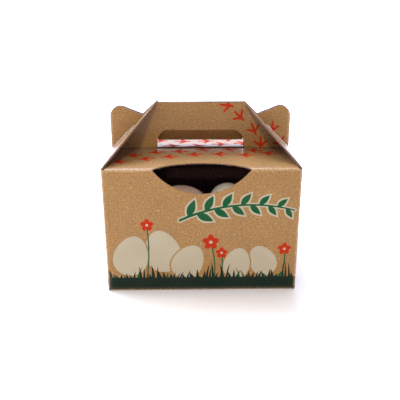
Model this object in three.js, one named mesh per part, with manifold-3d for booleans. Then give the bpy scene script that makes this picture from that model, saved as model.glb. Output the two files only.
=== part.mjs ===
// Carrying carton of kraft corrugated board, shut, with hens' eggs in it. The board is one die-cut
// sheet: body walls, a flat top in two halves, and two handle panels that stand up where the halves
// meet. A triangular flap rises from each side wall, leans in over the top and is locked by the ears
// of the handle panels. A lens-shaped window is cut across the front top edge.
// Millimetres, +Z up, front towards -Y, origin on the floor under the middle of the carton.

import * as THREE from 'three';
import { mergeVertices } from 'three/addons/utils/BufferGeometryUtils.js';
import Module from 'manifold-3d';

const wasm = await Module();
wasm.setup();

// Body
const width = 196;
const depth = 172;
const bodyHeight = 132;
const board = 2;
const cutGap = 0.4; // between board edges that meet without being joined
const topEndGap = 3.4; // each end of the flat top stops this far short of the outside
const lockNotch = { from: -22, to: 27, rise: 0.8 }; // recess of the bottom lock in the front edge

// Window across the front top edge: an arc down the front and one back into the top
const windowHalf = 47.1;
const windowDrop = 25.4;
const windowReach = 18.5;

// Handle panels, with heights counted from the flat top
const handleGap = 4;
const handleTop = 50.7;
const handleTopHalf = 49;
const notch = { x: 62.3, height: 37.7 }; // where the handle's slanted side meets the ear
const earTop = { x: 86, height: 46.8 };
const earRadius = 11;
const holeHalf = 47.1;
const holeHeight = 20.8;
const holeRadius = 15.6;
const tongueAngle = THREE.MathUtils.degToRad(47); // hand-hole tongue, pushed back from upright
const tongueTrim = 2.2; // its outline inside that of the hole

// Side flaps
const flapLean = THREE.MathUtils.degToRad(44.2); // from upright, inwards
const flapTipHeight = 52.5;
const lockHeight = 26; // the flap is slotted above this height and the handle panels below it
const leftFlare = 0; // the slot's mouth is cut back by this much; the right tip is pressed blunt
const rightFlare = 9;

// Eggs
const eggGap = 0.35;
const eggTaper = 0.13; // how much slimmer the small end is than the large one
const eggSides = 18;
const eggRings = 11;
const eggPitch = 47; // between neighbours of the lower layer, which stand in staggered rows
const lowerRowY = [-61.2, -20.5, 20.2, 60.9];
const lowerCentreX = 2.2;

const handleOuter = handleGap / 2 + board;

function toSolid(geometry) {
  const bare = geometry.clone();
  bare.deleteAttribute('normal');
  bare.deleteAttribute('uv');
  const merged = mergeVertices(bare, 1e-4);
  return new wasm.Manifold(
    new wasm.Mesh({
      numProp: 3,
      vertProperties: Float32Array.from(merged.attributes.position.array),
      triVerts: Uint32Array.from(merged.index.array),
    }),
  );
}

function toGeometry(solid) {
  const mesh = solid.getMesh();
  const geometry = new THREE.BufferGeometry();
  geometry.setAttribute('position', new THREE.BufferAttribute(mesh.vertProperties, 3));
  geometry.setIndex(new THREE.BufferAttribute(mesh.triVerts, 1));
  geometry.computeVertexNormals();
  return geometry;
}

// A flat sheet: the outline lies in the plane of along and up, and the thickness grows from origin
// along their cross product.
function sheet(outline, thickness, origin, along, up) {
  const flat = new THREE.ExtrudeGeometry(outline, {
    depth: thickness,
    bevelEnabled: false,
    curveSegments: 20,
  });
  const across = new THREE.Vector3().crossVectors(along, up);
  const place = new THREE.Matrix4().makeBasis(along, up, across).setPosition(origin);
  return toSolid(flat.applyMatrix4(place));
}

function block(low, high) {
  const size = new THREE.Vector3().subVectors(high, low);
  const box = new THREE.BoxGeometry(size.x, size.y, size.z);
  box.translate((low.x + high.x) / 2, (low.y + high.y) / 2, (low.z + high.z) / 2);
  return toSolid(box);
}

const vec = (x, y, z) => new THREE.Vector3(x, y, z);
const acrossX = vec(1, 0, 0);
const upZ = vec(0, 0, 1);
const backY = vec(0, 1, 0);

// Rectangle from (left, bottom) to (right, top) whose top edge is bitten by an arc of the given
// half width and sag.
function bittenRectangle(left, right, bottom, top, half, sag) {
  const radius = (half * half + sag * sag) / (2 * sag);
  const middle = top - sag + radius;
  const reach = Math.asin(half / radius);
  const outline = new THREE.Shape();
  outline.moveTo(left, bottom);
  outline.lineTo(right, bottom);
  outline.lineTo(right, top);
  outline.lineTo(half, top);
  outline.absarc(0, middle, radius, -Math.PI / 2 + reach, -Math.PI / 2 - reach, true);
  outline.lineTo(left, top);
  outline.closePath();
  return outline;
}

// Handle panel with an ear on each side, without its hand hole
function handleOutline() {
  const halfTop = width / 2 - topEndGap;
  const slant = Math.atan2(earTop.height - notch.height, earTop.x - notch.x);
  const arcX = width / 2 - earRadius;
  const arcHeight = earTop.height - earRadius;
  const outline = new THREE.Shape();
  outline.moveTo(-halfTop, -board);
  outline.lineTo(halfTop, -board);
  outline.lineTo(halfTop, 0);
  outline.lineTo(width / 2, 0);
  outline.absarc(arcX, arcHeight, earRadius, 0, Math.PI / 2 + slant, false);
  outline.lineTo(notch.x, notch.height);
  outline.lineTo(handleTopHalf, handleTop);
  outline.lineTo(-handleTopHalf, handleTop);
  outline.lineTo(-notch.x, notch.height);
  outline.absarc(-arcX, arcHeight, earRadius, Math.PI / 2 - slant, Math.PI, false);
  outline.lineTo(-width / 2, 0);
  outline.lineTo(-halfTop, 0);
  outline.closePath();
  return outline;
}

// The hand hole, a letter D on its back, measured down from its top edge, or its tongue when trimmed
function holeOutline(trim) {
  const half = holeHalf - trim;
  const radius = holeRadius - trim;
  const outline = new THREE.Shape();
  outline.moveTo(half, holeHeight - trim);
  outline.lineTo(-half, holeHeight - trim);
  outline.absarc(radius - half, radius, radius, Math.PI, 1.5 * Math.PI, false);
  outline.absarc(half - radius, radius, radius, 1.5 * Math.PI, 2 * Math.PI, false);
  outline.closePath();
  return outline;
}

// One handle panel with its front face at frontY and the tongue swung back from the hole's top edge
function handlePanel(frontY) {
  const panel = sheet(handleOutline(), board, vec(0, frontY + board, bodyHeight), acrossX, upZ);
  const holeTop = vec(0, frontY, bodyHeight + holeHeight);
  const downZ = vec(0, 0, -1);
  const hole = sheet(holeOutline(0), 3 * board, holeTop.clone().setY(frontY - board), acrossX, downZ);
  const backDown = vec(0, Math.sin(tongueAngle), -Math.cos(tongueAngle));
  const tongue = sheet(holeOutline(tongueTrim), board, holeTop, acrossX, backDown);
  return panel.subtract(hole).add(tongue);
}

// Slope coordinates of a side flap: distance up the slope from the crease, and the way across it
function flapFrame(side) {
  return {
    origin: vec((side * width) / 2, 0, bodyHeight),
    slope: vec(-side * Math.sin(flapLean), 0, Math.cos(flapLean)),
  };
}

function slab(side, outline, outside, thickness) {
  const { origin, slope } = flapFrame(side);
  const inward = vec(-side * Math.cos(flapLean), 0, -Math.sin(flapLean));
  const face = origin.clone().addScaledVector(inward, side < 0 ? outside + thickness : outside);
  return sheet(outline, thickness, face, slope, backY);
}

function polygon(points) {
  return new THREE.Shape(points.map(([u, v]) => new THREE.Vector2(u, v)));
}

// Triangular flap with a slot for the handle panels from its tip down to the lock
function sideFlap(side, flare) {
  const slotHalf = handleOuter + cutGap;
  const tip = flapTipHeight / Math.cos(flapLean);
  const apex = tip / (1 - slotHalf / (depth / 2));
  const lock = lockHeight / Math.cos(flapLean);
  const triangle = slab(side, polygon([[0, -depth / 2], [apex, 0], [0, depth / 2]]), 0, board);
  const slot = polygon([
    [lock - 2 * cutGap, -slotHalf],
    [tip - flare, -slotHalf],
    [apex + board, -slotHalf - flare - board],
    [apex + board, slotHalf + flare + board],
    [tip - flare, slotHalf],
    [lock - 2 * cutGap, slotHalf],
  ]);
  return triangle.subtract(slab(side, slot, -board, 3 * board));
}

// The slit in the handle panels that the lower half of a flap passes through
function flapSlit(side) {
  const reach = handleOuter + board;
  const lock = lockHeight / Math.cos(flapLean);
  const outline = polygon([[-3 * board, -reach], [lock, -reach], [lock, reach], [-3 * board, reach]]);
  return slab(side, outline, -cutGap, board + 2 * cutGap);
}

function carton() {
  const w = width / 2;
  const d = depth / 2;
  const end = w - topEndGap;
  const front = bittenRectangle(-w, w, 0, bodyHeight, windowHalf, windowDrop);
  const top = bittenRectangle(-end, end, handleGap / 2, d, windowHalf, windowReach);
  const topZ = vec(0, 0, bodyHeight - board);
  const frontY = vec(0, -1, 0);
  const notchLow = vec(lockNotch.from, -d - 1, -1);
  const notchHigh = vec(lockNotch.to, -d + board, lockNotch.rise);
  let body = sheet(front, board, vec(0, board - d, 0), acrossX, upZ);
  body = body.subtract(block(notchLow, notchHigh));
  body = body.add(block(vec(-w, d - board, 0), vec(w, d, bodyHeight)));
  body = body.add(block(vec(-w, -d, 0), vec(board - w, d, bodyHeight)));
  body = body.add(block(vec(w - board, -d, 0), vec(w, d, bodyHeight)));
  body = body.add(block(vec(-w, board - d, 0), vec(w, d, board)));
  body = body.add(sheet(top, board, topZ.clone().setZ(bodyHeight), acrossX, frontY));
  body = body.add(block(vec(-end, handleGap / 2, topZ.z), vec(end, d, bodyHeight)));
  let handle = handlePanel(-handleOuter).add(handlePanel(handleGap / 2));
  for (const side of [-1, 1]) {
    handle = handle.subtract(flapSlit(side));
    body = body.add(sideFlap(side, side < 0 ? leftFlare : rightFlare));
  }
  return toGeometry(body.add(handle));
}

// Radius of an egg at the height t, from -1 at its large end to 1 at its small one
function eggRadius(egg, t) {
  return (egg.width / 2) * Math.sqrt(Math.max(0, 1 - t * t)) * (1 - eggTaper * t);
}

function eggGeometry(egg) {
  const profile = [];
  for (let ring = 0; ring <= eggRings; ring += 1) {
    const t = -Math.cos((Math.PI * ring) / eggRings);
    profile.push(new THREE.Vector2(eggRadius(egg, t), (t * egg.length) / 2));
  }
  profile[0].x = 0;
  profile[eggRings].x = 0;
  const geometry = new THREE.LatheGeometry(profile, eggSides);
  geometry.rotateX(Math.PI / 2);
  return geometry;
}

// True where a point lies in an egg or within the gap round it
function nearEgg(point, egg) {
  const local = egg.group.worldToLocal(point.clone());
  const swell = 1 + eggGap / (egg.width / 2);
  const t = local.z / ((egg.length / 2) * swell);
  return Math.abs(t) < 1 && Math.hypot(local.x, local.y) < eggRadius(egg, t) * swell;
}

// True where an egg comes within the gap of the bottom or of another egg
function eggsTouch(egg, others) {
  egg.group.updateMatrixWorld(true);
  const { position } = egg.geometry.attributes;
  for (let index = 0; index < position.count; index += 1) {
    const point = new THREE.Vector3().fromBufferAttribute(position, index);
    egg.group.localToWorld(point);
    if (point.z < board + eggGap) return true;
    if (others.some((other) => nearEgg(point, other))) return true;
  }
  return false;
}

// Lowers an egg until it all but touches what is under it
function settle(egg, others) {
  let low = board;
  let high = bodyHeight;
  for (let step = 0; step < 14; step += 1) {
    const middle = (low + high) / 2;
    egg.group.position.z = middle;
    if (eggsTouch(egg, others)) low = middle;
    else high = middle;
  }
  egg.group.position.z = high;
  egg.group.updateMatrixWorld(true);
}

const kraft = new THREE.MeshStandardMaterial({ color: 0xb08a58, roughness: 0.9 });
const tanShell = new THREE.MeshStandardMaterial({ color: 0xd9b59b, roughness: 0.55 });
const paleShell = new THREE.MeshStandardMaterial({ color: 0xe8ddd2, roughness: 0.5 });

// Sizes of the eggs run through a short cycle, so that neighbours differ
const eggSizes = [[44, 57], [42, 54], [43.5, 56], [41.5, 53.5], [43, 57.5]];

function makeEgg(name, index, x, y, tilt, heading, material) {
  const [across, along] = eggSizes[index % eggSizes.length];
  const egg = { width: across, length: along, group: new THREE.Group() };
  egg.geometry = eggGeometry(egg);
  const mesh = new THREE.Mesh(egg.geometry, material);
  mesh.name = name;
  egg.group.add(mesh);
  egg.group.position.set(x, y, 0);
  egg.group.rotation.set(tilt, 0, heading, 'ZYX');
  return egg;
}

const model = new THREE.Group();

const cartonMesh = new THREE.Mesh(carton(), kraft);
cartonMesh.name = 'carton';
model.add(cartonMesh);

// Lower layer: rows of four and three in turn, each egg upright with a slight lean; the last row
// leans back against the wall
const placed = [];
lowerRowY.forEach((y, row) => {
  const count = row % 2 === 0 ? 4 : 3;
  for (let column = 0; column < count; column += 1) {
    const index = placed.length;
    const x = lowerCentreX + (column - (count - 1) / 2) * eggPitch;
    const lean = row === lowerRowY.length - 1 ? -0.42 : 0.06;
    const heading = row === lowerRowY.length - 1 ? 0.2 - 0.2 * column : index * 2.1;
    const material = index % 4 === 1 ? paleShell : tanShell;
    const egg = makeEgg(`egg_lower_${index + 1}`, index, x, y, lean, heading, material);
    settle(egg, placed);
    placed.push(egg);
    model.add(egg.group);
  }
});

// Upper eggs: a row in the hollows behind the front row; the two in the middle show in the window
const upperY = -34;
const upperEggs = [
  { name: 'egg_window_left', x: -22, size: 4, tilt: 1.3, heading: 1.35, material: tanShell },
  { name: 'egg_window_right', x: 29, size: 2, tilt: Math.PI, heading: 0.3, material: paleShell },
  { name: 'egg_upper_left', x: -72, size: 3, tilt: 0.5, heading: 0.4, material: tanShell },
  { name: 'egg_upper_right', x: 73, size: 3, tilt: 1.2, heading: 0.2, material: tanShell },
];
for (const { name, x, size, tilt, heading, material } of upperEggs) {
  const egg = makeEgg(name, size, x, upperY, tilt, heading, material);
  settle(egg, placed);
  placed.push(egg);
  model.add(egg.group);
}

export default model;
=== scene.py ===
import bpy
import numpy as np
from mathutils import Matrix, Vector
from mathutils.geometry import delaunay_2d_cdt


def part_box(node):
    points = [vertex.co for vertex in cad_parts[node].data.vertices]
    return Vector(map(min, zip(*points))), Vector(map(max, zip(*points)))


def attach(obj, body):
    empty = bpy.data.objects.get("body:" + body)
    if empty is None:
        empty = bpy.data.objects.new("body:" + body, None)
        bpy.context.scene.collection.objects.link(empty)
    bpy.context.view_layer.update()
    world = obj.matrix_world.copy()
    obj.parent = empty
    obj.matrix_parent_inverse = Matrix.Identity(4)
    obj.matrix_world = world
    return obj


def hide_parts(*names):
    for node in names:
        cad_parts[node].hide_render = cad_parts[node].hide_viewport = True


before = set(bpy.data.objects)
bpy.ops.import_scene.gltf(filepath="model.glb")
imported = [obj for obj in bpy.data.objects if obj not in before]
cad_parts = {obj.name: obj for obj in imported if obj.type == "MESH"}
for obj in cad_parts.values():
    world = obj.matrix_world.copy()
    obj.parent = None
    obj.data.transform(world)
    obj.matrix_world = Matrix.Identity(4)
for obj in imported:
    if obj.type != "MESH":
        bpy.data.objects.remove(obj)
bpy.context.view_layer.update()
mm = 0.001

# The camera stands a little left of the middle and looks down on the front. Angles are degrees.
view = {
    "place": (-9.6, -565.9, 273.4),
    "yaw": 0.92,
    "pitch": 19.81,
    "roll": 0.08,
    "lens": 46.8,
    "sensor": 36,
    "near": 10,
}


def addObject(name, data):
    thing = bpy.data.objects.new(name, data)
    bpy.context.collection.objects.link(thing)
    return thing


def makeCamera():
    # Looks along +Y, turned right by yaw, tipped down by pitch and rolled about its own axis
    data = bpy.data.cameras.new("camera")
    data.lens = view["lens"]
    data.sensor_width = view["sensor"]
    data.clip_start = view["near"] * mm
    camera = addObject("camera", data)
    yaw, pitch, roll = np.radians([view["yaw"], view["pitch"], view["roll"]])
    turn = Matrix.Rotation(-yaw, 4, "Z") @ Matrix.Rotation(np.pi / 2 - pitch, 4, "X")
    place = Matrix.Translation(Vector(view["place"]) * mm)
    camera.matrix_world = place @ turn @ Matrix.Rotation(-roll, 4, "Z")
    bpy.context.scene.camera = camera


makeCamera()
print("camera set")


def linear(code):
    # sRGB hex text to linear red, green, blue and alpha
    channel = np.array([int(code[place:place + 2], 16) for place in (1, 3, 5)]) / 255
    light = np.where(channel <= 0.04045, channel / 12.92, ((channel + 0.055) / 1.055) ** 2.4)
    return (*light.tolist(), 1.0)


def addNode(tree, kind, settings=None, *inputs):
    # Adds a node. A setting is a property of the node, or else an input of that name or number,
    # and what follows fills the inputs in order. An input takes a value, a socket, or a node's
    # first output.
    node = tree.nodes.new(kind)
    for name, value in [*(settings or {}).items(), *enumerate(inputs)]:
        if isinstance(value, bpy.types.Node):
            value = value.outputs[0]
        if isinstance(name, str) and hasattr(node, name):
            setattr(node, name, value)
        elif isinstance(value, bpy.types.NodeSocket):
            tree.links.new(value, node.inputs[name])
        else:
            node.inputs[name].default_value = value
    return node


def paintOver(tree, under, over, value, low=0.0, high=1.0, least=0.0, most=1.0):
    # One colour over another: least of it where the value is low, most of it where it is high
    share = addNode(tree, "ShaderNodeMapRange", None, value, low, high, least, most)
    mixed = addNode(tree, "ShaderNodeMix", {"data_type": "RGBA", 0: share, 6: under, 7: over})
    return mixed.outputs[2]


def newMaterial(name):
    material = bpy.data.materials.new(name)
    material.use_nodes = True
    material.node_tree.nodes.clear()
    return material, material.node_tree


# Kraft liner: unbleached softwood paper, rolled and glued on the flutes. Long fibres lie across
# the flutes, bark specks are scattered in it, and a bend pales it, partly by stretch wear and
# partly by a painted highlight; the inward crease is darkened by painted shade. The inner liner is
# of recycled pulp, greyer, and painted darker and purpler as shade for the inside of the carton.
outerLiner = {"colour": "#8e6a38", "dark": "#6a4721", "pale": "#aa844a"}
# The inner liner is greyer recycled pulp, painted darker and purpler as shade for the inside of the
# carton
innerLinerWithPaintedShade = {"colour": "#5c4240", "dark": "#432d2c", "pale": "#745653"}
kraft = {
    "bendWearAndLight": "#c0a27c",          # where a bend pales the liner, by stretch wear and a painted highlight
    "barkAndCreaseShade": "#4a3119",          # of the dark specks, and of the painted shade in the inward crease
    "straw": "#cfae80",         # of the pale specks
    "cloud": 26.0,              # size of the cloudy unevenness
    "fibre": 1.9,               # length of a fibre bundle, coarser than real so that it shows
    "fibreWidth": 1.5,
    "speck": 2.6,               # size of the noise that scatters the specks
    "flute": 3.2,               # pitch of the flutes that faintly show through
    "middling": (0.3, 0.7),     # where most of a noise's values lie
    "even": 0.4,                # share of the liner's own colour between its dark and its pale
    "cloudDark": 0.22,          # most that a cloud, or a flute, darkens
    "fluteDark": 0.03,
    "barkSpeck": (0.68, 0.74, 0.0, 0.6),    # noise from which it shows, and how much it does
    "strawSpeck": (0.31, 0.26, 0.0, 0.4),
    "brokenFibre": (0.3, 0.62),
    "bareFibre": (0.42, 0.8, 0.15),     # fibres that an ink covers thinly, and the least share
    "grain": 0.25,              # height of the fibres beside that of the specks
    "grainBump": {"Strength": 0.35, "Distance": 0.12 * mm},
    "fluteBump": {"Strength": 0.25, "Distance": 0.15 * mm},
    # The calendered skin is a coat that shines only at a glancing angle, and gives all the shine
    "finish": {"Roughness": 0.6, "Specular IOR Level": 0.0, "Sheen Roughness": 0.5,
               "Coat Roughness": 0.26, "Coat IOR": 1.33},
    "sheen": 0.05,              # of the raised fibre ends
    "skin": 1.0,                # weight of that coat on bare liner
    "stretchedAndLit": (0.85, 1.5),   # how much a bend pales it, by stretch wear and a painted highlight, and how far from the bend
    "pressed": (0.7, 0.9),      # how much painted shade darkens the inward crease, and how far
}
bandsInUnit = 3.18              # of a Wave texture whose scale is 1
# Flexographic inks, thin and matt: "through" is how much of the liner shows at most
inks = {
    "red": {"colour": "#a0230c", "through": 0.08, "gloss": 0.1},
    "darkGreen": {"colour": "#122520", "through": 0.03, "gloss": 0.0},
    "green": {"colour": "#0d4a2d", "through": 0.05, "gloss": 0.0},
    "cream": {"colour": "#a29a82", "through": 0.14, "gloss": 0.2},
}


def boardMaterial(name, liner, ink=None):
    # The liner's fibres, clouds, specks and faint flutes, with an ink over them if one is given.
    # The UV map counts 100 mm to the unit, so noise of scale 100 / size has lumps of that size.
    material, tree = newMaterial(name)
    dark, pale, even = [linear(liner[shade]) for shade in ("dark", "pale", "colour")]
    barkAndCreaseShade, straw, stretchedAndLit = [linear(kraft[shade]) for shade in ("barkAndCreaseShade", "straw", "bendWearAndLight")]
    middling = kraft["middling"]
    flat = addNode(tree, "ShaderNodeUVMap", {"uv_map": "blank"})
    stretch = (1.0, kraft["fibre"] / kraft["fibreWidth"], 1.0)
    along = addNode(tree, "ShaderNodeMapping", {"Vector": flat, "Scale": stretch})
    fibres, clouds, specks = [addNode(tree, "ShaderNodeTexNoise", {
        "Vector": vector, "Scale": 100 / kraft[size], "Detail": detail, "Roughness": roughness,
    }) for vector, size, detail, roughness in (
        (along, "fibre", 2.0, 0.6), (flat, "cloud", 2.0, 0.55), (flat, "speck", 1.0, 0.5))]
    colour = paintOver(tree, dark, pale, fibres, *middling)
    colour = paintOver(tree, colour, even, kraft["even"])
    colour = paintOver(tree, colour, dark, clouds, *middling, 0.0, kraft["cloudDark"])
    colour = paintOver(tree, colour, barkAndCreaseShade, specks, *kraft["barkSpeck"])
    colour = paintOver(tree, colour, straw, specks, *kraft["strawSpeck"])
    flutes = addNode(tree, "ShaderNodeTexWave", {
        "wave_type": "BANDS", "bands_direction": "X", "Vector": flat,
        "Scale": 100 / kraft["flute"] / bandsInUnit}).outputs["Fac"]
    colour = paintOver(tree, colour, dark, flutes, 0.0, 1.0, 0.0, kraft["fluteDark"])
    if ink:
        most = ink["through"]
        inked = paintOver(tree, linear(ink["colour"]), colour, clouds, *middling, 0.0, most)
        low, high, least = kraft["bareFibre"]
        colour = paintOver(tree, inked, colour, fibres, low, high, most * least, most)
    # The attribute pales the bends by stretch wear and a painted highlight, and below zero paints
    # shade into the inward crease
    bendWearAndLight = addNode(tree, "ShaderNodeAttribute", {"attribute_name": "bendWearAndLight"}).outputs["Fac"]
    broken = addNode(tree, "ShaderNodeMapRange", None, fibres, *kraft["brokenFibre"])
    wearAndHighlight = addNode(tree, "ShaderNodeMath", {"operation": "MULTIPLY"}, bendWearAndLight, broken)
    colour = paintOver(tree, colour, stretchedAndLit, wearAndHighlight)
    # Painted shade: the bark colour darkens the inward crease where the attribute is below zero
    colour = paintOver(tree, colour, barkAndCreaseShade, bendWearAndLight, 0.0, -1.0)
    grain = addNode(tree, "ShaderNodeMath", {"operation": "MULTIPLY_ADD"},
                    fibres, kraft["grain"], specks)
    bump = addNode(tree, "ShaderNodeBump", kraft["grainBump"] | {"Height": grain})
    swell = addNode(tree, "ShaderNodeBump",
                    kraft["fluteBump"] | {"Height": flutes, "Normal": bump})
    shader = addNode(tree, "ShaderNodeBsdfPrincipled", kraft["finish"] | {
        "Sheen Weight": 0.0 if ink else kraft["sheen"],
        "Coat Weight": ink["gloss"] if ink else kraft["skin"],
        "Base Color": colour,
        "Normal": swell,
    })
    addNode(tree, "ShaderNodeOutputMaterial", {"Surface": shader})
    return material


# Cut edge of the board: two liners with the fluted medium between them, and painted shade in the
# hollows of the flutes. Places across the edge run from 0 at one liner to 1 at the other.
cutEdge = {
    "liner": "#9a7448",
    "medium": "#6b4a2c",
    # painted shade in the hollows of the flutes
    "fluteShade": "#1a100a",
    "wave": (0.2, 0.8),                     # the medium's crests
    "onMedium": (0.12, 0.2, 1.0, 0.0),      # full to so far from its middle, and then gone
    "onLiner": (0.3, 0.36, 0.0, 1.0),       # from so far off the board's middle
    "torn": (0.4, 0.75, 0.0, 0.45),         # fluff of the cut: noise from which it shows
    "tornLumps": 900.0,                     # to the metre
    "bump": {"Strength": 0.6, "Distance": 0.3 * mm},
    "roughness": 0.85,
}


def edgeMaterial():
    # Across the edge, U counts 100 mm along the flutes' rank and V runs from liner to liner. The
    # medium is a sine wave between them.
    material, tree = newMaterial("cutBoardEdge")
    liner, medium, fluteShade = [linear(cutEdge[part]) for part in ("liner", "medium", "fluteShade")]
    flat = addNode(tree, "ShaderNodeUVMap", {"uv_map": "blank"})
    along, across, _ = addNode(tree, "ShaderNodeSeparateXYZ", None, flat).outputs
    turn = addNode(tree, "ShaderNodeMath", {"operation": "MULTIPLY"},
                   along, 200 * np.pi / kraft["flute"])
    wave = addNode(tree, "ShaderNodeMath", {"operation": "SINE"}, turn)
    middle = addNode(tree, "ShaderNodeMapRange", None, wave, -1.0, 1.0, *cutEdge["wave"])
    shares = []
    for centre, reach in ((middle, cutEdge["onMedium"]), (0.5, cutEdge["onLiner"])):
        apart = addNode(tree, "ShaderNodeMath", {"operation": "SUBTRACT"}, across, centre)
        near = addNode(tree, "ShaderNodeMath", {"operation": "ABSOLUTE"}, apart)
        shares.append(addNode(tree, "ShaderNodeMapRange", None, near, *reach))
    solid = addNode(tree, "ShaderNodeTexCoord").outputs["Object"]
    torn = addNode(tree, "ShaderNodeTexNoise", {
        "Vector": solid, "Scale": cutEdge["tornLumps"], "Detail": 2.0})
    # Painted shade fills the flutes' hollows, with the medium and the liners over it
    colour = paintOver(tree, fluteShade, medium, shares[0])
    colour = paintOver(tree, colour, liner, shares[1])
    colour = paintOver(tree, colour, liner, torn, *cutEdge["torn"])
    height = addNode(tree, "ShaderNodeMath", {"operation": "MAXIMUM"}, *shares)
    bump = addNode(tree, "ShaderNodeBump", cutEdge["bump"] | {"Height": height})
    shader = addNode(tree, "ShaderNodeBsdfPrincipled", {
        "Roughness": cutEdge["roughness"], "Base Color": colour, "Normal": bump})
    addNode(tree, "ShaderNodeOutputMaterial", {"Surface": shader})
    return material


# The board's sizes: its outside is a hair inside the CAD box on every side
carton = {
    "inset": 0.15,
    "board": 1.9,
    "crush": 0.5,           # what die-cutting leaves of the board's thickness at its cut edges
    "cornerRadius": 2.6,
    "foldRadius": 2.4,
    "creaseRadius": 0.5,    # of the inward crease between the flat top and a handle panel
    "topHeight": 132.0,
    "cornerTop": 131.3,     # where the walls end in the corners, between two folds
    "handleFace": 4.0,      # of each handle panel from the middle
    "roofHalf": 94.6,
    "handleTop": 50.7,
    "handleTopHalf": 49.0,
    "notch": (62.3, 37.7),  # this and the ear's top: from the middle, above the flat top
    "earTop": (86.0, 46.8),
    "earRadius": 11.0,
    "holeHalf": 48.1,
    "holeHeight": 21.5,
    "holeRadius": 15.6,
    "holeLift": 0.2,        # of its lower edge above the flat top
    "tongueAngle": 44.0,
    "tongueTrim": 0.3,
    "tongueBend": 0.5,
    "tongueSag": (0.25, 7, 30),     # its depth, and how it grows down and across the tongue
    "tongueGrid": ((-48, 49, 3.0), (-20, 0, 0.8)),
    "windowHalf": 48.8,
    "windowDrop": 25.4,     # down the front
    "windowReach": 20.3,    # into the flat top
    "flapLean": 44.2,
    "flapTip": 52.5,
    "rightFlare": 9.0,      # what is cut off the right flap's tip
    "lockHeight": 26.0,     # of the slot in a flap and the slit in a handle panel
    "slotHalf": 4.4,
    "play": (0.3, 0.8),     # of the board in a slit, and of the slot's foot on the slit's
    "seamGap": 0.12,        # between the ends of the blank at the glued corner
    "cornerFade": 0.6,      # how far past a corner's bend the other bends have faded out
    "floorHalf": 94.9,      # of a floor flap, cut free of the corners by a narrow relief
    "relief": 0.3,
    "floorTongue": ((34, 27), (-8, 22)),    # half width and reach past the middle: root and tip
    "floorPlay": (0.6, 0.5),
    "floorNotch": ((-22.0, 27.0), (-4.2, -1.75)),
    "grid": 3.0,
    "bow": 0.2,             # how far the board wanders inwards from flat
    "swell": (1.0, 18.0),   # rise of the flat top's outward bow and where it is highest
}
inset, foldRadius, board = [carton[size] for size in ("inset", "foldRadius", "board")]
halfWidth, halfDepth = (np.array(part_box("carton")[1])[:2] / mm - inset).tolist()


def turnedPath(low, high, anchor, place, heading, bends):
    # A path of unit speed that runs straight and turns evenly over each bend (start, length,
    # angle). It passes place with the given heading at the distance anchor. Returns a function
    # from distance to across, up and heading.
    ruler = np.arange(low, high + 0.02, 0.02)
    angle = np.full(ruler.shape, float(heading))
    for start, length, turn in bends:
        share = np.clip((ruler - start) / length, 0, 1)
        angle += turn * (share - np.clip((anchor - start) / length, 0, 1))
    middle = (angle[1:] + angle[:-1]) / 2
    step = np.diff(ruler)
    across = np.concatenate([[0], np.cumsum(np.cos(middle) * step)])
    up = np.concatenate([[0], np.cumsum(np.sin(middle) * step)])
    across += place[0] - np.interp(anchor, ruler, across)
    up += place[1] - np.interp(anchor, ruler, up)

    def at(distance):
        return [np.interp(distance, ruler, values) for values in (across, up, angle)]

    return at


# Distances round the walls, counted from the middle of the front, and up them, counted from the
# end of the fold at the floor
sideHalf = np.array([halfWidth, halfDepth]) - carton["cornerRadius"]
cornerRun = carton["cornerRadius"] * np.pi / 2
cornerAt = sideHalf + cornerRun / 2         # the middle of a corner's bend, from a panel's centre
panelGap = sideHalf.sum() + cornerRun
panelCentre = panelGap * np.arange(-1, 3)   # left side, front, right side, back
girth = 4 * panelGap
foldRun = foldRadius * np.pi / 2
creaseRun = carton["creaseRadius"] * np.pi / 2
wallStart = inset + foldRadius
topFace = carton["topHeight"] - inset
wallEnd = topFace - foldRadius - wallStart
handleFace = carton["handleFace"] - inset
roofRun = halfDepth - handleFace - foldRadius - carton["creaseRadius"]
roofEnd = wallEnd + foldRun + roofRun
handleStart = roofEnd + creaseRun
lean = np.radians(carton["flapLean"])
flapRun = foldRadius * lean
flapTangent = foldRadius * np.tan(lean / 2)
leanDrop = inset * (1 - np.cos(lean)) / np.sin(lean)
sideEnd = carton["topHeight"] - leanDrop - flapTangent - wallStart
flapStart = sideEnd + flapRun


def onRoof(behind):
    # Blank distance of a point on the flat top, this far behind the carton's front
    return wallEnd + foldRun + behind - inset - foldRadius


def onHandle(height):
    # Blank distance of a point on a handle panel, this far above the flat top
    return handleStart + height + inset - carton["creaseRadius"]


def onFlap(slope):
    # Blank distance of a point on a side flap, this far up its slope from the crease
    return flapStart + slope - flapTangent


def onWall(height):
    return height - wallStart


wallHead = onWall(carton["cornerTop"])
sliver = 0.05   # within it, a point counts as lying on an edge
cornerStarts = [-panelGap - sideHalf[1] - cornerRun, -sideHalf[0] - cornerRun, sideHalf[0],
                panelGap + sideHalf[1]]
cornerTurns = [(start, cornerRun, np.pi / 2) for start in cornerStarts]
roundPath = turnedPath(-girth, girth, 0, (0, -halfDepth), 0, cornerTurns)
broadPath = turnedPath(-120, 300, 0, (0, wallStart), np.pi / 2, [
    (-foldRun, foldRun, np.pi / 2),
    (wallEnd, foldRun, np.pi / 2),
    (roofEnd, creaseRun, -np.pi / 2)])
sidePath = turnedPath(-120, 300, 0, (0, wallStart), np.pi / 2, [(sideEnd, flapRun, lean)])


def wander(p, s):
    # Inward drift of the board from flat, by the sum of three slow waves: between 0 and bow, and
    # never outwards
    slow = np.sin(p / 41 + 0.7) * np.cos(s / 33 + 0.5)
    quick = 0.5 * np.sin(p / 17 + s / 23) + 0.3 * np.sin(s / 9 - p / 13 + 2)
    return carton["bow"] * (1.8 + slow + quick) / 3.6


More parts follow.
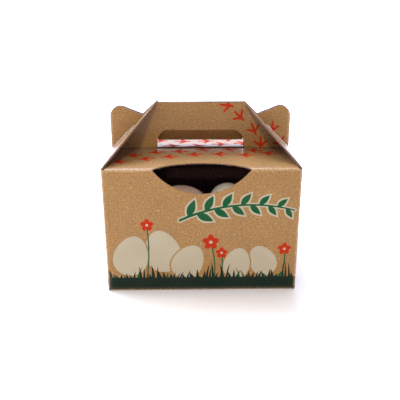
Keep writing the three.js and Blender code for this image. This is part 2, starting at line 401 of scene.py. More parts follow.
def panelAt(p, s):
    # Number of the panel from its place round the walls: 0 left, 1 front, 2 right, 3 back. The
    # ears, which reach past the corners, belong to the front and back.
    panel = np.digitize(p, np.array(cornerStarts[1:]) + cornerRun / 2)
    return np.where(s > roofEnd - 5, np.where(p < panelGap, 1, 3), panel)


def roundSlope(panel):
    # How across, back and heading grow along a straight panel
    quarter = (panel - 1) * np.pi / 2
    return np.cos(quarter), np.sin(quarter), np.zeros(panel.shape)


def foldBlank(p, s, t):
    # The folded place of a blank's point (p round the walls, s up them, t into the board): the wall's
    # point moves along the section's across and up, and then inwards by t. Round the corners the
    # section's bends fade out smoothly; above and below them each panel is cut free and keeps its
    # bends. The flat top also bows outwards, by rise times u times e to (1 - u) and less and less
    # towards the handle, where u is the distance from the front fold over that of the peak.
    panel = panelAt(p, s)
    local = p - panelCentre[panel]
    broad = panel % 2 == 1
    above = s > wallHead + sliver
    x, y, heading = [np.where(above, middle + local * slope, turned) for middle, slope, turned in
                     zip(roundPath(panelCentre[panel]), roundSlope(panel), roundPath(p))]
    rise, peak = carton["swell"]
    u = np.clip(s - wallEnd - foldRun / 2, 0, roofRun) / peak
    swell = rise * u * np.exp(1 - u) * (1 - u * peak / roofRun)
    t = t + wander(p, s) - np.where(broad, swell, 0)
    straight = np.stack([-t, wallStart + s])
    bent = []
    for path in (sidePath, broadPath):
        across, up, turn = path(s)
        bent.append(np.stack([across - t * np.sin(turn), up + t * np.cos(turn)]))
    reach = np.where(broad, *cornerAt) - np.abs(local)
    free = above | (broad & (s < 0) & (np.abs(local) < carton["floorHalf"] + 2 * sliver))
    held = np.clip(np.where(free, 1, reach / (cornerRun / 2 + carton["cornerFade"])), 0, 1)
    held = held * held * (3 - 2 * held)
    section = np.where(broad, bent[1], bent[0]) * held + straight * (1 - held)
    return np.column_stack([x + np.sin(heading) * section[0], y - np.cos(heading) * section[0],
                            section[1]])


def arc(centre, radius, start, end, steps=12):
    # Points of a circle from one angle to another, in degrees
    angle = np.radians(np.linspace(start, end, steps))
    return np.column_stack([centre[0] + radius * np.cos(angle), centre[1] + radius * np.sin(angle)])


def mirrored(half):
    # A top edge from right to left, given its right half from the outside to the middle
    half = np.array(half)
    return np.vstack([half, half[::-1] * (-1, 1)])


def broadTop():
    # Top edge of the front or back strip: corner, end of the flat top, slit, ear and handle
    slope = np.array([-np.sin(lean), np.cos(lean)])
    inward = np.array([-np.cos(lean), -np.sin(lean)])
    foot = np.array([halfWidth + inset, 0])
    lock = carton["lockHeight"] / np.cos(lean)
    gap = carton["play"][0]
    depth = inset + board + gap
    innerStart = (foot[0] + depth * inward[0] - carton["roofHalf"]) / np.sin(lean)
    outerStart = (foot[0] - gap * inward[0] - halfWidth) / np.sin(lean)
    slit = [foot + u * slope + v * inward
            for u, v in ((innerStart, depth), (lock, depth), (lock, -gap), (outerStart, -gap))]
    radius = carton["earRadius"] - inset
    ear = np.array([halfWidth - radius, carton["earTop"][1] - carton["earRadius"]])
    rise = np.degrees(np.arctan2(*(np.array(carton["earTop"]) - carton["notch"])[::-1]))
    trim = np.array([0.1, -inset])
    handle = np.vstack([slit, arc(ear, radius, 0, 90 + rise, 16), carton["notch"] + trim,
                        np.array([carton["handleTopHalf"], carton["handleTop"]]) + trim * (0, 1)])
    handle[:, 1] = onHandle(handle[:, 1])
    start = [(cornerAt[0], wallHead), (carton["roofHalf"], wallHead)]
    return mirrored(np.vstack([start, handle]))


def flapTop(flare):
    # Top edge of a side strip: a triangle with a slot down its middle, its tips blunted by flare
    tip = carton["flapTip"] / np.cos(lean) - inset
    apex = tip / (1 - carton["slotHalf"] / halfDepth)
    lock = carton["lockHeight"] / np.cos(lean) - carton["play"][1]
    widen = (flare + board) / (apex - tip + flare + board)
    mouth = (halfDepth - carton["slotHalf"] + widen * (tip - flare)) / (widen + halfDepth / apex)
    edge = halfDepth * (1 - mouth / apex)
    corner = sideHalf[1]
    half = [(cornerAt[1], wallHead), (corner, wallHead),
            (corner, onFlap(apex * (1 - corner / halfDepth))), (edge, onFlap(mouth))]
    if flare:
        half.append((carton["slotHalf"], onFlap(tip - flare)))
    half.append((carton["slotHalf"], onFlap(lock)))
    return mirrored(half)


def floorEdge(back):
    # Bottom edge of the front or back strip, from left to right: relief cuts at the corners, and a
    # floor flap whose end has a tongue at the front and the notch for it at the back
    inner = carton["floorHalf"]
    relief = inner + carton["relief"]
    (root, tip), (short, reach) = carton["floorTongue"]
    tongue = np.array([(-inner, short), (-root, short), (-tip, reach),
                       (tip, reach), (root, short), (inner, short)], float)
    along = tongue[:, 1] + halfDepth - foldRadius
    if back:
        wider, shorter = carton["floorPlay"]
        tongue[1:-1, 0] *= 1 + wider / root
        along = halfDepth - foldRadius - (tongue[:, 1] + shorter)
    flap = np.column_stack([tongue[:, 0], -foldRun - along])
    foot = -foldRadius
    left = [(-cornerAt[0], foot), (-relief, foot), (-relief, 0), (-inner, 0)]
    right = [(-x, s) for x, s in left[::-1]]
    return np.vstack([left, flap, right])


def blankOutline():
    # The whole blank in one loop: along the bottom from the glued seam round to it, and back
    # along the top
    foot = -foldRadius
    seam = panelCentre[3] + sideHalf[0]
    start = seam - girth + carton["seamGap"]
    left, front, right, back = [(centre, 0) for centre in panelCentre]
    return np.vstack([
        [(start, foot)], floorEdge(False) + front, floorEdge(True)[:-3] + back,
        [(seam, 0), (seam, wallHead)], broadTop()[1:] + back,
        flapTop(carton["rightFlare"])[1:] + right, broadTop()[1:] + front,
        flapTop(0)[1:-1] + left, [(start, wallHead)]])


def windowHole():
    # A lens: one arc down the front wall from the crease and one back into the flat top. Both
    # circles meet the middle of the fold.
    x = np.linspace(-carton["windowHalf"], carton["windowHalf"], 41)
    middle = wallEnd + foldRun / 2
    arcs = []
    for sag, edge, sign in ((carton["windowDrop"], onWall(carton["topHeight"]), -1),
                            (carton["windowReach"], onRoof(0), 1)):
        radius = (x[0] ** 2 + sag ** 2) / (2 * sag)
        s = edge + sign * (sag - radius + np.sqrt(radius ** 2 - x ** 2))
        arcs.append(np.column_stack([x, np.maximum(sign * s, sign * middle) * sign]))
    return np.vstack([arcs[0], arcs[1][-2:0:-1]])


def handHole(trim=0.0):
    # The hand hole seen from the front, or its tongue when trimmed: flat below, round above
    half = carton["holeHalf"] - trim
    radius = carton["holeRadius"] - trim
    top = carton["holeHeight"]
    low = carton["holeLift"] + trim
    return np.vstack([[(-half, low), (half, low)],
                      arc((half - radius, top - radius), radius, 0, 90, 14),
                      arc((radius - half, top - radius), radius, 90, 180, 14)])


def inside(points, loop):
    # Even-odd test of many points against one loop, by crossings of a ray to the right
    result = np.zeros(len(points), bool)
    low, high = loop.min(0), loop.max(0)
    near = np.nonzero(((points >= low) & (points <= high)).all(1))[0]
    x, y = points[near].T
    hits = np.zeros(len(near), int)
    for (ax, ay), (bx, by) in zip(loop, np.roll(loop, -1, 0)):
        crossing = (ay > y) != (by > y)
        if ay != by:
            hits += crossing & (x < ax + (y - ay) * (bx - ax) / (by - ay))
    result[near] = hits % 2 == 1
    return result


def cutSheet(outline, holes, printed, points, fold, bendWearAndLight):
    # Cuts a flat sheet and folds it. Delaunay triangles fill the outline, minus the holes, and
    # keep every printed shape's edge; each triangle takes the ink of the last shape over it. The
    # outer and inner faces and the cut edges then make one closed wall.
    def onSheet(places):
        return inside(places, outline) & ~np.any([inside(places, hole) for hole in holes], axis=0)

    loops = [outline, *holes, *[shape for _, shape in printed]]
    corners = np.vstack([*loops, points[onSheet(points)]])
    edges, first = [], 0
    for loop in loops:
        index = np.arange(first, first + len(loop))
        edges += np.column_stack([index, np.roll(index, -1)]).tolist()
        first += len(loop)
    corners = [Vector(corner) for corner in corners.tolist()]
    flat, _, faces = delaunay_2d_cdt(corners, edges, [], 0, 1e-4, False)[:3]
    flat = np.array([tuple(v) for v in flat])
    faces = np.array(faces)
    centre = flat[faces].mean(1)
    keep = onSheet(centre)
    faces, centre = faces[keep], centre[keep]
    a, b, c = (flat[faces[:, k]] for k in range(3))
    area = (b - a)[:, 0] * (c - a)[:, 1] - (b - a)[:, 1] * (c - a)[:, 0]
    faces[area < 0] = faces[area < 0][:, ::-1]
    ink = np.zeros(len(faces), int)
    for kind, shape in printed:
        ink[inside(centre, shape)] = kind
    used, faces = np.unique(faces, return_inverse=True)
    faces = faces.reshape(-1, 3)
    flat = flat[used]
    count = len(flat)
    directed = np.vstack([faces[:, [0, 1]], faces[:, [1, 2]], faces[:, [2, 0]]])
    key = directed.min(1) * count + directed.max(1)
    _, index, times = np.unique(key, return_index=True, return_counts=True)
    rim = directed[index[times == 1]]
    walls = np.column_stack([rim[:, 1], rim[:, 0], rim[:, 0] + count, rim[:, 1] + count])
    p, s = flat.T
    depth = np.full(count, board)
    depth[rim.ravel()] *= carton["crush"]
    vertices = np.vstack([fold(p, s, np.zeros(count)), fold(p, s, depth)])
    triangles = np.vstack([faces, faces[:, ::-1] + count])
    loopPoint = np.concatenate([triangles.ravel(), walls.ravel()])
    uv = flat[loopPoint % count] / 100
    edgeLoops = np.arange(len(loopPoint)) >= triangles.size
    uv[edgeLoops, 1] = loopPoint[edgeLoops] // count
    inks = np.concatenate([ink, np.full(len(faces), innerFace), np.full(len(walls), cutFace)])
    return vertices, triangles, walls, uv, inks, np.tile(bendWearAndLight(p, s), 2)


def ribbon(points, width, endWidth=None):
    # A line of the given width with half-round ends, tapering to its end width
    points = np.array(points, float)
    endWidth = width if endWidth is None else endWidth
    along = np.gradient(points, axis=0)
    along /= np.linalg.norm(along, axis=1)[:, None]
    side = along[:, ::-1] * (-1, 1)
    half = np.linspace(width, endWidth, len(points))[:, None] / 2
    start = np.degrees(np.arctan2(*(-along[0])[::-1]))
    end = np.degrees(np.arctan2(*along[-1][::-1]))
    headCap = arc(points[-1], endWidth / 2, end - 90, end + 90, 6)
    tailCap = arc(points[0], width / 2, start - 90, start + 90, 6)
    right = (points - side * half)[1:-1]
    left = (points + side * half)[1:-1]
    return np.vstack([right, headCap, left[::-1], tailCap])


def towards(heading):
    # One step in a heading given in degrees
    return np.array([np.cos(np.radians(heading)), np.sin(np.radians(heading))])


def placed(place, x, y, turn):
    # An outline turned by so many degrees and moved to its place
    c, s = towards(turn)
    return np.column_stack([place[0] + c * x - s * y, place[1] + s * x + c * y])


def eggShape(centre, width, height, turn, taper=0.16, steps=30):
    # An egg's outline, its small end up before it is turned
    angle = np.linspace(0, 2 * np.pi, steps, endpoint=False)
    x = width / 2 * np.cos(angle) * (1 - taper * np.sin(angle))
    return placed(centre, x, height / 2 * np.sin(angle), turn)


def leafShape(base, length, width, heading, steps=9):
    # A pointed leaf: two bows from its base to its tip
    u = np.linspace(0, 1, steps)
    bow = width / 2 * np.sin(np.pi * u ** 0.85)
    x = np.concatenate([u * length, (u * length)[-2:0:-1]])
    y = np.concatenate([bow, -bow[-2:0:-1]])
    return placed(base, x, y, heading)


# The carton's material slots
bare, red, darkGreen, green, cream, innerFace, cutFace = range(7)
meadow = {
    "band": 15.5,           # height of the dark band
    "root": 1.0,            # how deep in it a blade starts
    "spacing": 3.4,
    "height": (5.0, 20.0),
    "waves": (0.75, 0.25, 11),  # the blades' heights rise and fall along the panel
    "width": (2.2, 4.2),
    "sway": 4.5,
    "lighter": 0.16,        # share of the blades that are of the lighter green
    "seed": 7,
}


def bladeShape(foot, width, height, sway):
    # A blade of grass: two curves from its foot to a tip swayed to one side
    u = np.linspace(0, 1, 5)
    middle = foot[0] + sway * u ** 1.8
    half = width / 2 * (1 - u) ** 0.8
    y = foot[1] + height * u
    return np.vstack([np.column_stack([middle - half, y])[:-1],
                      np.column_stack([middle + half, y])[::-1]])


def meadowShapes(half, seed):
    # The dark band along the foot of a panel and its blades, a few of them lighter
    draw = np.random.default_rng(seed)
    band = meadow["band"]
    mean, change, wave = meadow["waves"]
    shapes = []
    count = int(2 * half / meadow["spacing"])
    for index in range(count):
        x = -half + (index + draw.uniform(0.25, 0.75)) * 2 * half / count
        height = draw.uniform(*meadow["height"]) * (mean + change * np.sin(x / wave))
        sway = draw.uniform(-meadow["sway"], meadow["sway"])
        kind = green if draw.uniform() < meadow["lighter"] else darkGreen
        width = draw.uniform(*meadow["width"])
        foot = (x, onWall(band - meadow["root"]))
        shapes.append((kind, bladeShape(foot, width, height, sway)))
    reach, foot, head = half + cornerRun / 2, -foldRun / 2, onWall(band)
    strip = np.array([(-reach, foot), (reach, foot), (reach, head), (-reach, head)])
    return [*shapes, (darkGreen, strip)]


sprig = {
    "start": (-22, 79),         # on the front: from the middle, above the floor
    "heading": (24, -38),       # of the stem in degrees, and how far it bends down
    "count": 11,
    "stride": 9.0,
    "stem": (2.6, 1.4),         # widths at its two ends
    "stemHalo": (5.4, 4.2),
    "leaf": (20, 0.35, 0.42),   # length, how much of it the last leaf lacks, width to length
    "leafTurn": 46,             # from the stem
    "leafHalo": (2.0, 4.6, 4.0),    # how far back it starts, extra length and width
}


def sprigShapes():
    # A bending stem with a leaf to each side in turn, over a cream outline of the same
    count, (heading, bend) = sprig["count"], sprig["heading"]
    angle = np.radians(heading + bend * np.linspace(0, 1, count + 2))
    x, height = sprig["start"]
    stem = np.array((x, onWall(height))) + np.concatenate([[[0, 0]], np.cumsum(
        sprig["stride"] * np.column_stack([np.cos(angle), np.sin(angle)]), 0)])
    first, lacks, slim = sprig["leaf"]
    leaves = []
    for index in range(1, count + 2):
        side = 1 if index % 2 else -1
        size = first * (1 - lacks * index / count)
        turn = np.degrees(angle[index - 1]) + side * sprig["leafTurn"]
        leaves.append((stem[index], size, size * slim, turn))
    shapes = [(cream, ribbon(stem, *sprig["stemHalo"]))]
    behind, longer, wider = sprig["leafHalo"]
    for base, length, width, turn in leaves:
        back = base - behind * towards(turn)
        shapes.append((cream, leafShape(back, length + longer, width + wider, turn)))
    shapes.append((green, ribbon(stem, *sprig["stem"])))
    shapes += [(green, leafShape(*one)) for one in leaves]
    return shapes


motifs = {
    # each printed egg: across, height of its middle, width, height, turn
    "eggs": ((62, 34, 27, 35, 26), (36, 31, 27, 35, -14), (-40, 45, 36, 47, 14),
             (-72, 40, 35, 45, -16), (-14, 33, 31, 40, -30)),
    "eggRim": 3.0,              # bare, round each
    # each flower: across, height, size, and where across its stem stands
    "flowers": ((9, 55, 15, 13), (20, 43, 11, 18), (-55, 74, 12, -57), (84, 47, 12, 81)),
    "stemFoot": 12,
    "stem": (1.3, 2.0),         # width, and bow to one side
    "petal": (0.32, 0.42, 0.5),     # reach, width and length as shares of the flower's size
    "eye": 0.24,
}


def flowerShapes(centre, size, stemFoot):
    # A red flower of five round petals with a cream eye, on a green stem
    lift = np.linspace(0, 1, 6)[:, None]
    stemWidth, bow = motifs["stem"]
    stem = np.array(stemFoot) * (1 - lift) + np.array(centre) * lift
    stem[:, 0] += bow * np.sin(np.pi * lift[:, 0])
    shapes = [(green, ribbon(stem, stemWidth))]
    reach, width, length = motifs["petal"]
    for petal in range(5):
        place = np.array(centre) + size * reach * towards(72 * petal + 90)
        shapes.append((red, eggShape(place, size * width, size * length, 72 * petal, 0.0, 16)))
    eye = size * motifs["eye"]
    shapes.append((cream, eggShape(centre, eye, eye, 0, 0.0, 12)))
    return shapes


def frontPrint():
    # Eggs in the grass, each before a bare rim that parts it from the next, a few flowers and a
    # leafy sprig above them
    shapes = []
    for x, z, width, height, turn in motifs["eggs"]:
        for kind, rim in ((bare, motifs["eggRim"]), (cream, 0.0)):
            shapes.append((kind, eggShape((x, onWall(z)), width + rim, height + rim, turn)))
    for x, z, size, foot in motifs["flowers"]:
        shapes += flowerShapes((x, onWall(z)), size, (foot, onWall(motifs["stemFoot"])))
    return shapes + sprigShapes()


# Heel and heading of each track on a flat top (x, distance behind the front edge) and on a
# handle panel (x, height above the flat top)
trail = {
    "top": ((-86, 27, 14), (-74, 52, 8), (-60, 38, 4), (-51, 65, 12), (-36, 46, 10), (-26, 70, 3),
            (-10, 55, 6), (0, 78, 9), (17, 57, -4), (29, 77, 5), (44, 53, -6), (55, 73, -10),
            (70, 61, -18)),
    "handle": ((66.5, 2.6, 90), (59.5, 18.6, 112), (44.2, 33.8, 136), (31.5, 46.8, 172),
               (79.2, 19.5, 93), (89.0, 5.0, 122)),
    "topSize": (11.5, 57, 4.8),     # length of the middle toe, spread in degrees and width
    "handleSize": (9.6, 54, 3.0),
    "toes": ((-1, 0.85), (0, 1.0), (1, 0.85)),  # share of the spread and of the length
    "spur": (180, 0.4),             # degrees from the middle toe, share of its length
    "taper": 0.75,
}


def trackShapes(place, heading, size, spread, width):
    # A three-toed track: a ribbon for each toe and the short spur, all from the heel
    shapes = []
    toes = [(side * spread, length) for side, length in trail["toes"]]
    for turn, length in (*toes, trail["spur"]):
        tip = np.array(place) + size * length * towards(heading + turn)
        shapes.append((red, ribbon([place, tip], width, width * trail["taper"])))
    return shapes


def topPrint():
    # Tracks over the flat top from left to right, and up the right half of the handle panel
    shapes = []
    for x, behind, heading in trail["top"]:
        shapes += trackShapes((x, onRoof(behind)), heading, *trail["topSize"])
    for x, height, heading in trail["handle"]:
        shapes += trackShapes((x, onHandle(height)), heading, *trail["handleSize"])
    return shapes


def cartonPrint():
    # Grass round all four panels, and the rest of the print on the front and the back
    shapes = []
    for panel in range(4):
        broad = panel % 2 == 1
        half = sideHalf[0] if broad else sideHalf[1]
        own = meadowShapes(half, meadow["seed"] + panel)
        if broad:
            own = frontPrint() + own + topPrint()
        shapes += [(kind, shape + (panelCentre[panel], 0)) for kind, shape in own]
    return shapes


def gridPoints(columns, rows):
    # All crossings of the columns and the rows
    x, y = np.meshgrid(columns, rows)
    return np.column_stack([x.ravel(), y.ravel()])


def blankPoints():
    # Grid of points on the blank, close together across every bend
    step = carton["grid"]
    bends = [np.linspace(start - 0.3, start + run + 0.3, rows) for start, run, rows in (
        (-foldRun, foldRun, 9), (wallEnd, foldRun, 9), (roofEnd, creaseRun, 6),
        (sideEnd, flapRun, 7))]
    rows = np.concatenate([np.arange(-1.4 * halfDepth, onHandle(54), step), *bends])
    corners = [np.linspace(start - 0.3, start + cornerRun + 0.3, 9) for start, _, _ in cornerTurns]
    columns = np.concatenate([np.arange(-girth / 2, panelCentre[3] + halfWidth, step), *corners])
    crowd = [np.sort(values) for values in (columns, rows)]
    crowd = [values[np.concatenate([[True], np.diff(values) > 0.25])] for values in crowd]
    return gridPoints(*crowd)


def bendWearAndLightOnBlank(p, s):
    # How pale a bend is, by stretch wear and a painted highlight: full on a bend and gone about 2 mm
    # off it. Below zero it is painted shade that darkens the inward crease between the flat top and
    # a handle panel.
    broad = panelAt(p, s) % 2 == 1
    far = np.full(p.shape, 99.0)
    for place, where in ((wallEnd + foldRun / 2, broad), (-foldRun / 2, broad),
                         (sideEnd + flapRun / 2, ~broad)):
        far = np.where(where, np.minimum(far, np.abs(s - place)), far)
    for start, run, _ in cornerTurns:
        far = np.minimum(far, np.abs(p - start - run / 2))
    pale, paleReach = kraft["stretchedAndLit"]
    dark, darkReach = kraft["pressed"]
    # Painted shade in the inward crease between the flat top and a handle panel
    pressed = np.where(broad, np.exp(-((s - roofEnd - creaseRun / 2) / darkReach) ** 2), 0)
    return pale * np.exp(-(far / paleReach) ** 2) - dark * pressed


def bendWearAndHighlightOnTongue(x, s):
    # A tongue is pale along its bend, at the hole's top edge, by stretch wear and a painted highlight
    return np.exp(-(s / kraft["stretchedAndLit"][1]) ** 2)


def tongueFold(side):
    # A hand-hole tongue hangs from the hole's top edge, where s is 0, and swings back about a
    # bend just below it. Side is -1 for the front panel and 1 for the back one, whose outside
    # looks the other way.
    top = carton["topHeight"] + carton["holeHeight"]
    swing = np.radians(carton["tongueAngle"])
    bend = [(0, carton["tongueBend"], swing)]
    path = turnedPath(-2, 40, 0, (side * handleFace, top), -np.pi / 2, bend)
    sag, down, across = carton["tongueSag"]

    def fold(x, s, t):
        y, z, heading = path(-s)
        t = side * (t + sag * (1 - np.cos(s / down)) * np.cos(x / across))
        return np.column_stack([-side * x, y + t * np.sin(heading), z - t * np.cos(heading)])

    return fold


def joinSheets(name, sheets, materials):
    # One mesh object from several folded sheets, each of them what cutSheet returns
    faces, first = [], 0
    for vertices, triangles, walls, *_ in sheets:
        faces += (triangles + first).tolist() + (walls + first).tolist()
        first += len(vertices)
    vertices, _, _, uv, inks, bendWearAndLight = zip(*sheets)
    mesh = bpy.data.meshes.new(name)
    mesh.from_pydata((np.vstack(vertices) * mm).tolist(), [], faces)
    layer = mesh.uv_layers.new(name="blank")
    layer.data.foreach_set("uv", np.vstack(uv).ravel())
    mesh.polygons.foreach_set("material_index", np.concatenate(inks))
    attribute = mesh.attributes.new("bendWearAndLight", "FLOAT", "POINT")
    attribute.data.foreach_set("value", np.concatenate(bendWearAndLight))
    for material in materials:
        mesh.materials.append(material)
    mesh.shade_smooth()
    mesh.set_sharp_from_angle(angle=np.radians(34))
    mesh.update()
    return addObject(name, mesh)


def makeCarton():
    materials = [boardMaterial("kraftLiner", outerLiner)]
    for name in ("red", "darkGreen", "green", "cream"):
        materials.append(boardMaterial(f"{name}InkOnKraft", outerLiner, inks[name]))
    materials += [boardMaterial("innerLinerWithPaintedShade", innerLinerWithPaintedShade), edgeMaterial()]
    hole = handHole()
    holes = [windowHole()]
    (left, right), (low, high) = carton["floorNotch"]
    holes.append(np.array([(left, low), (right, low), (right, high), (left, high)]))
    for centre in (panelCentre[1], panelCentre[3]):
        holes.append(np.column_stack([hole[:, 0] + centre, onHandle(hole[:, 1])]))
    sheets = [cutSheet(blankOutline(), holes, cartonPrint(), blankPoints(), foldBlank, bendWearAndLightOnBlank)]
    tongue = handHole(carton["tongueTrim"]) - (0, carton["holeHeight"])
    points = gridPoints(*[np.arange(*spread) for spread in carton["tongueGrid"]])
    for side in (-1, 1):
        sheets.append(cutSheet(tongue, [], [], points, tongueFold(side), bendWearAndHighlightOnTongue))
    piece = joinSheets("kraftCarton", sheets, materials)
    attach(piece, "root")
    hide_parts("carton")


makeCarton()
print("carton folded")


# Hens' eggs: tan ones with darker freckles, and pale ones. A shell is finely pitted
# calcite under a thin bloom, so it gives a broad soft shine and no sharp one.
shells = {
    "tan_shell": {"colour": "#ccab98", "light": "#dcc2b4", "freckle": "#a06a48", "amount": 0.35,
                  "material": "tanShell"},
    "pale_shell": {"colour": "#d8cfb9", "light": "#e8e1d0", "freckle": "#b9a48f", "amount": 0.12,
                   "material": "paleShell"},
}
eggForm = {
    "pale": ("egg_window_right", "egg_lower_2", "egg_lower_6", "egg_lower_10", "egg_lower_14"),
    "rings": 40,
    "sides": 56,
    "taper": 0.13,
    "uneven": 0.12,
    "inset": (0.1, 0.12),       # off the length and off the half width, to stay in the CAD egg
    "clouds": (60.0, 3.0, 0.5),     # lumps to the metre, detail and roughness of the noise
    "freckles": (700.0, 2.0, 0.6),
    "pores": 1100.0,
    "lightFrom": (0.35, 0.65),      # where the noise shows the lighter colour, and the freckles
    "freckleFrom": (0.6, 0.74, 0.0),
    "pit": (0.05, 0.4),
    "bump": {"Strength": 0.2, "Distance": 0.08 * mm},
    "finish": {"Roughness": 0.48, "Subsurface Weight": 0.12, "Subsurface Scale": 0.002,
               "Subsurface Radius": (1.0, 0.5, 0.3)},
}


def shellMaterial(look):
    # Soft clouds of two colours, darker freckles over them, and the relief of the pores
    material, tree = newMaterial(look["material"])
    colour, light, freckle = [linear(look[part]) for part in ("colour", "light", "freckle")]
    solid = addNode(tree, "ShaderNodeTexCoord").outputs["Object"]
    clouds, freckles = [addNode(tree, "ShaderNodeTexNoise", {
        "Vector": solid, "Scale": lumps, "Detail": detail, "Roughness": roughness,
    }) for lumps, detail, roughness in (eggForm["clouds"], eggForm["freckles"])]
    pores = addNode(tree, "ShaderNodeTexVoronoi", {"Vector": solid, "Scale": eggForm["pores"]})
    pits = addNode(tree, "ShaderNodeMapRange", None, pores, *eggForm["pit"])
    colour = paintOver(tree, colour, light, clouds, *eggForm["lightFrom"])
    colour = paintOver(tree, colour, freckle, freckles, *eggForm["freckleFrom"], look["amount"])
    bump = addNode(tree, "ShaderNodeBump", eggForm["bump"] | {"Height": pits})
    shader = addNode(tree, "ShaderNodeBsdfPrincipled",
                     eggForm["finish"] | {"Base Color": colour, "Normal": bump})
    addNode(tree, "ShaderNodeOutputMaterial", {"Surface": shader})
    return material


def makeEgg(name, material, number):
    # A turned egg fitted to its CAD node: its long axis, its ends and its width come from the
    # node's points. Radius = half width times root(1 - t squared) times (1 - taper times t), with
    # t from -1 at the large end to 1 at the small one, and a slow drift inwards round it.
    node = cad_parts[name]
    points = np.empty(len(node.data.vertices) * 3)
    node.data.vertices.foreach_get("co", points)
    points = np.unique((points.reshape(-1, 3) / mm).round(3), axis=0)
    centre = points.mean(0)
    axis = np.linalg.svd(points - centre)[2][0]
    height = (points - centre) @ axis
    radial = np.linalg.norm(points - centre - height[:, None] * axis, axis=1)
    if radial[height > 0].mean() > radial[height < 0].mean():
        axis, height = -axis, -height
    length = np.ptp(height) - eggForm["inset"][0]
    middle = centre + axis * (height.max() + height.min()) / 2
    half = radial.max() - eggForm["inset"][1]
    t = -np.cos(np.linspace(0, np.pi, eggForm["rings"] + 1))
    turn = np.linspace(0, 2 * np.pi, eggForm["sides"], endpoint=False)
    widest = (np.sqrt(1 - t * t) * (1 - eggForm["taper"] * t)).max()
    radius = half / widest * np.sqrt(np.maximum(0, 1 - t * t)) * (1 - eggForm["taper"] * t)
    t, turn = np.meshgrid(t[1:-1], turn, indexing="ij")
    drift = 1 - eggForm["uneven"] / half * (1 + np.sin(2 * turn + number) * np.cos(2 * t + number))
    ring = radius[1:-1, None] * drift
    side = np.cross(axis, [0.3, 0.9, 0.2])
    side /= np.linalg.norm(side)
    across = np.cross(axis, side)
    place = (middle + (t * length / 2)[..., None] * axis + (ring * np.cos(turn))[..., None] * side
             + (ring * np.sin(turn))[..., None] * across)
    poles = [middle - axis * length / 2, middle + axis * length / 2]
    rows, columns = t.shape
    grid = np.arange(rows * columns).reshape(rows, columns)
    beside = np.roll(grid, -1, 1)
    quads = np.stack([grid[:-1], beside[:-1], beside[1:], grid[1:]], -1).reshape(-1, 4)
    south = np.column_stack([np.full(columns, rows * columns), beside[0], grid[0]])
    north = np.column_stack([np.full(columns, rows * columns + 1), grid[-1], beside[-1]])
    mesh = bpy.data.meshes.new(name)
    mesh.from_pydata((np.vstack([place.reshape(-1, 3), poles]) * mm).tolist(), [],
                     quads.tolist() + south.tolist() + north.tolist())
    mesh.materials.append(material)
    mesh.shade_smooth()
    mesh.update()
    piece = addObject(f"shell_{name}", mesh)
    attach(piece, "root")
    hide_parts(name)


def makeEggs():
    finish = {slot: shellMaterial(look) for slot, look in shells.items()}
    names = sorted(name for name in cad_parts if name.startswith("egg_"))
    for number, name in enumerate(names):
        slot = "pale_shell" if name in eggForm["pale"] else "tan_shell"
        makeEgg(name, finish[slot], number)


makeEggs()
print("eggs laid")


# A white floor with a glowing white wall all round it, and large soft panels over it, in metres
studio = {
    "floor": "#f4f3f0",
    "radius": 2.6,
    "wallHigh": 2.2,
    "wall": "#efeaff",
    "wallGlow": 1.22,
    "floorGlow": (1.4, 0.5),    # how far out the floor starts to glow, and its glow at the wall
    "sides": 96,
    "world": 0.02,
}
panels = (
    # name, place, aim, width and height in metres, strength in watts, colour
    ("keyPanel", (-0.19, -1.55, 1.14), (0, 0, 0.1), (0.2, 0.2), 15, "#fff2de"),
    ("topPanel", (0.0, 0.1, 1.45), (0, 0, 0.1), (1.1, 0.8), 9, "#ffffff"),
    ("leftPanel", (-1.5, 0.6, 0.9), (0, 0, 0.1), (1.2, 1.2), 34, "#eaf0ff"),
    ("backPanel", (0.0, 1.45, 0.95), (0, 0, 0.13), (1.8, 1.2), 13, "#cfdcff"),
    ("highBackPanel", (-0.3, 0.75, 1.25), (0, 0, 0.12), (1.2, 0.6), 44, "#cfdcff"),
)


def stageMesh(name, points, faces, material):
    mesh = bpy.data.meshes.new(name)
    mesh.from_pydata(points.tolist(), [], faces)
    mesh.materials.append(material)
    stage = addObject(name, mesh)


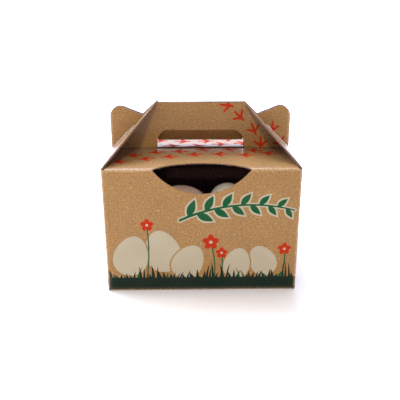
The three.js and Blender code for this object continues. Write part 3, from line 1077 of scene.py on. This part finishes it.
def makeStudio():
    # The floor is a disc that glows towards its rim, so that no horizon shows, and the wall is a
    # ring of flat strips that stands on the rim
    turn = np.linspace(0, 2 * np.pi, studio["sides"], endpoint=False)
    rim = studio["radius"] * np.column_stack([np.cos(turn), np.sin(turn), 0 * turn])
    index = np.arange(len(turn))
    beside = np.roll(index, -1)
    glowFrom, glow = studio["floorGlow"]
    material, tree = newMaterial("whiteFloor")
    place = addNode(tree, "ShaderNodeTexCoord").outputs["Object"]
    reach = addNode(tree, "ShaderNodeVectorMath", {"operation": "LENGTH"}, place).outputs[1]
    glow = addNode(tree, "ShaderNodeMapRange", None, reach, glowFrom, studio["radius"], 0.0, glow)
    shader = addNode(tree, "ShaderNodeBsdfPrincipled", {
        "Base Color": linear(studio["floor"]), "Roughness": 0.8,
        "Emission Color": linear(studio["wall"]), "Emission Strength": glow})
    addNode(tree, "ShaderNodeOutputMaterial", {"Surface": shader})
    stageMesh("whiteFloor", rim, [index.tolist()], material)
    material, tree = newMaterial("glowingWall")
    shader = addNode(tree, "ShaderNodeEmission", {
        "Color": linear(studio["wall"]), "Strength": studio["wallGlow"]})
    addNode(tree, "ShaderNodeOutputMaterial", {"Surface": shader})
    points = np.vstack([rim, rim + (0, 0, studio["wallHigh"])])
    strips = np.column_stack([beside, index, index + len(turn), beside + len(turn)]).tolist()
    stageMesh("glowingWall", points, strips, material)
    bpy.context.scene.view_settings.view_transform = "Standard"
    world = bpy.data.worlds.new("softWhite")
    world.use_nodes = True
    background = world.node_tree.nodes["Background"]
    background.inputs["Color"].default_value = (1, 1, 1, 1)
    background.inputs["Strength"].default_value = studio["world"]
    bpy.context.scene.world = world
    for name, place, aim, (width, height), strength, colour in panels:
        data = bpy.data.lights.new(name, "AREA")
        data.shape = "RECTANGLE"
        data.size, data.size_y = width, height
        data.energy = strength
        data.color = linear(colour)[:3]
        light = addObject(name, data)
        light.location = place
        light.rotation_euler = (Vector(aim) - Vector(place)).to_track_quat("-Z", "Y").to_euler()


makeStudio()
print("studio lit")
